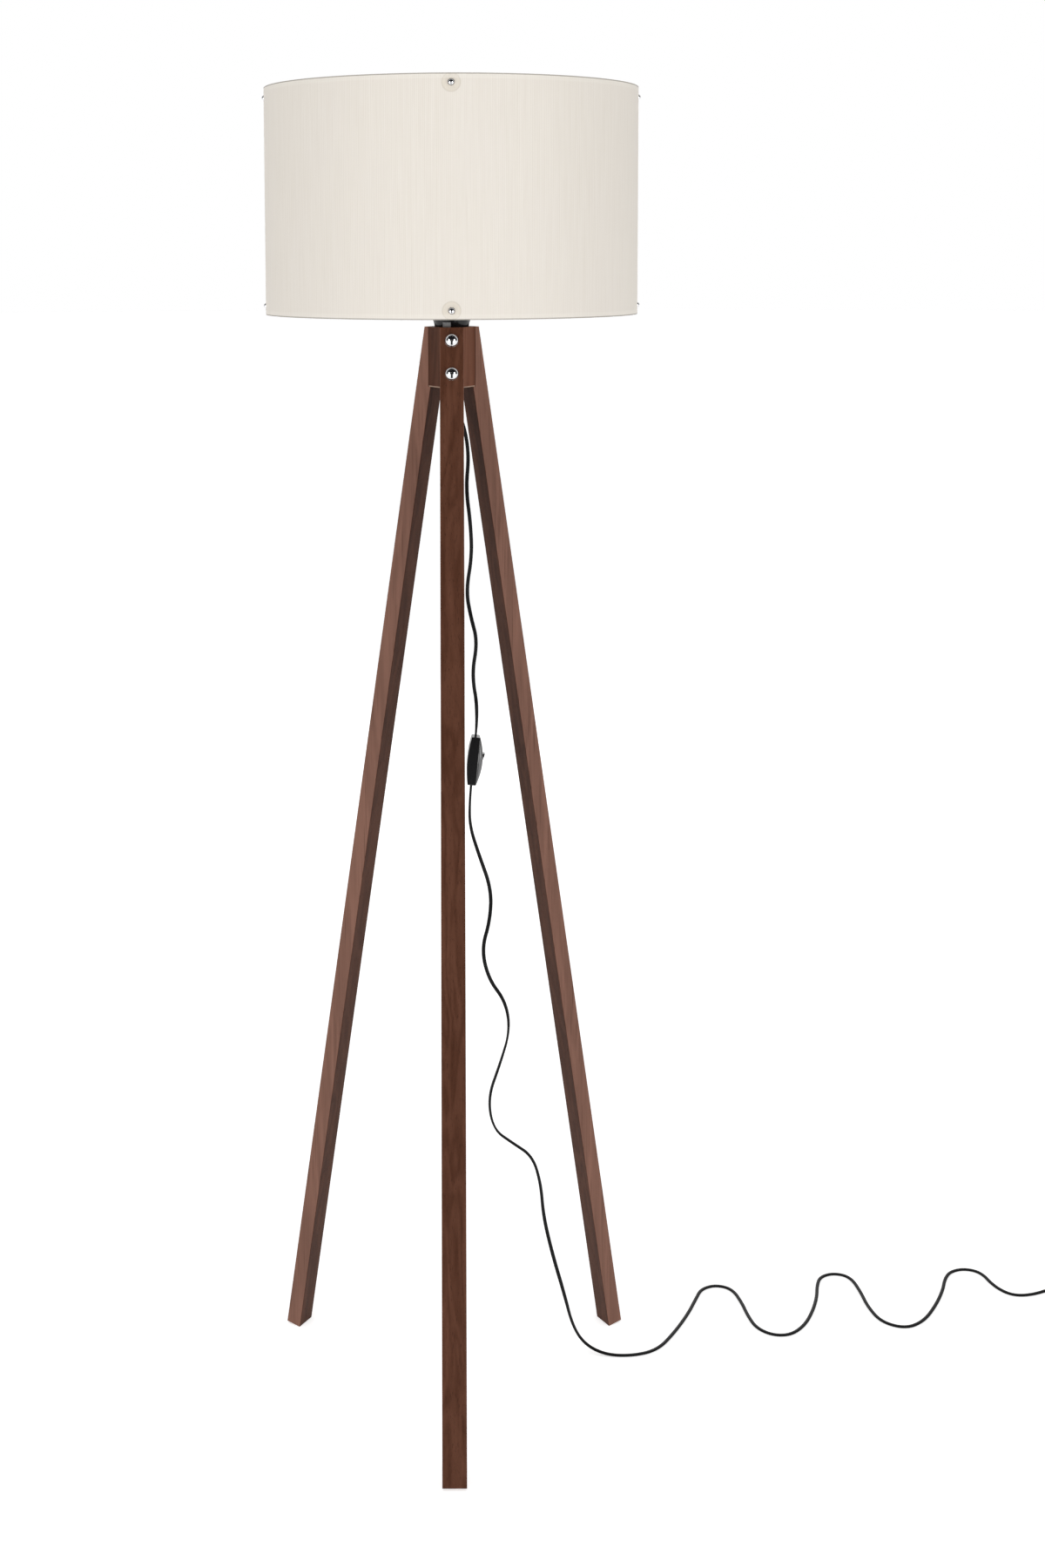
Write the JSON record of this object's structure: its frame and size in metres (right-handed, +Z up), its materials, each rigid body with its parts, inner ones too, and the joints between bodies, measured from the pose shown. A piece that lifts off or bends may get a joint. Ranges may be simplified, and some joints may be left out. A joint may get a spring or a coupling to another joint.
{
  "type": "tripod floor lamp",
  "caption": "Tripod floor lamp with splayed stained-wood legs bolted to a hexagonal hub, a pale drum shade on a wire frame, a screw-in bulb and a flat flex with an in-line switch and a plug.",
  "frame": {"origin": "on the floor, under the axis of the hub and the shade", "axes": "+Z up along the lamp's axis; the front leg stands towards -Y; the flex runs out towards +X"},
  "size_m": [1.0267, 0.4398, 1.439],
  "materials": {
    "stained_wood": "reddish-brown walnut stain, satin",
    "chrome_bolt": "polished",
    "zinc_steel": "zinc plated",
    "black_bush": "moulded",
    "black_bakelite": "glossy moulded",
    "grey_tab": "moulded",
    "white_ceramic": "glazed ceramic",
    "nickel_brass": "nickel plated",
    "white_wire": "white paint",
    "cream_sheet": "ribbed translucent sheet",
    "chrome_screw": "polished",
    "clear_washer": "translucent moulded",
    "opal_glass": "opal",
    "black_flex": "satin flexible sheath",
    "black_switch": "fine satin",
    "gloss_switch_cover": "glossy",
    "switch_metal": "plated",
    "black_tie": "coated wire",
    "black_plug": "moulded",
    "plug_metal": "nickel plated"
  },
  "bodies": {
    "root": {"leg_front": "stained_wood", "leg_rear_right": "stained_wood", "leg_rear_left": "stained_wood", "hub_block": "stained_wood", "leg_bolts": "chrome_bolt", "bolt_inserts": "zinc_steel", "threaded_tube": "zinc_steel", "tube_washer": "zinc_steel", "tube_nut": "zinc_steel", "tube_top_nut": "zinc_steel", "cord_bush": "black_bush", "lampholder_cap": "black_bakelite", "lampholder_shell": "black_bakelite", "shade_clamp_ring": "black_bakelite", "cap_lock_tab": "grey_tab", "lampholder_core": "white_ceramic", "screw_shell": "nickel_brass", "centre_contact": "nickel_brass", "terminal_screws": "nickel_brass", "fitter_ring": "white_wire", "shade_bottom_ring": "white_wire", "shade_top_ring": "white_wire", "spider_arms": "white_wire", "ring_tabs": "white_wire", "shade_sheet": "cream_sheet", "shade_screws": "chrome_screw", "screw_nuts": "chrome_screw", "screw_washers": "clear_washer", "cord_inner": "black_flex", "cord_upper": "black_flex", "cord_lower": "black_flex", "cord_coil": "black_flex", "cord_tail": "black_flex", "plug_relief": "black_flex", "switch_base": "black_switch", "switch_cover": "gloss_switch_cover", "switch_contacts": "switch_metal", "switch_screws": "switch_metal", "coil_tie": "black_tie", "plug_body": "black_plug", "plug_pins": "plug_metal"},
    "bulb_lift": {"bulb_contact": "nickel_brass"},
    "bulb": {"bulb_glass": "opal_glass", "bulb_cap": "nickel_brass"},
    "rocker": {"switch_rocker": "black_switch"}
  },
  "joints": [
    {"name": "bulb_lift", "type": "slide", "parent": "root", "child": "bulb_lift", "axis": [0, 0, 1], "range_m": [0, 0.0127]},
    {"name": "bulb_turn", "type": "hinge", "parent": "bulb_lift", "child": "bulb", "pos_m": [0, 0, 1.26], "axis": [0, 0, 1], "range_deg": [0, 1260]},
    {"name": "switch_rock", "type": "hinge", "parent": "root", "child": "rocker", "pos_m": [0.02877, 0, 0.70625], "axis": [0, -1, 0], "range_deg": [0, 14]}
  ],
  "couplings": [
    {"joint": "bulb_lift", "follows": "bulb_turn", "m_per_rad": 0.00057757}
  ]
}
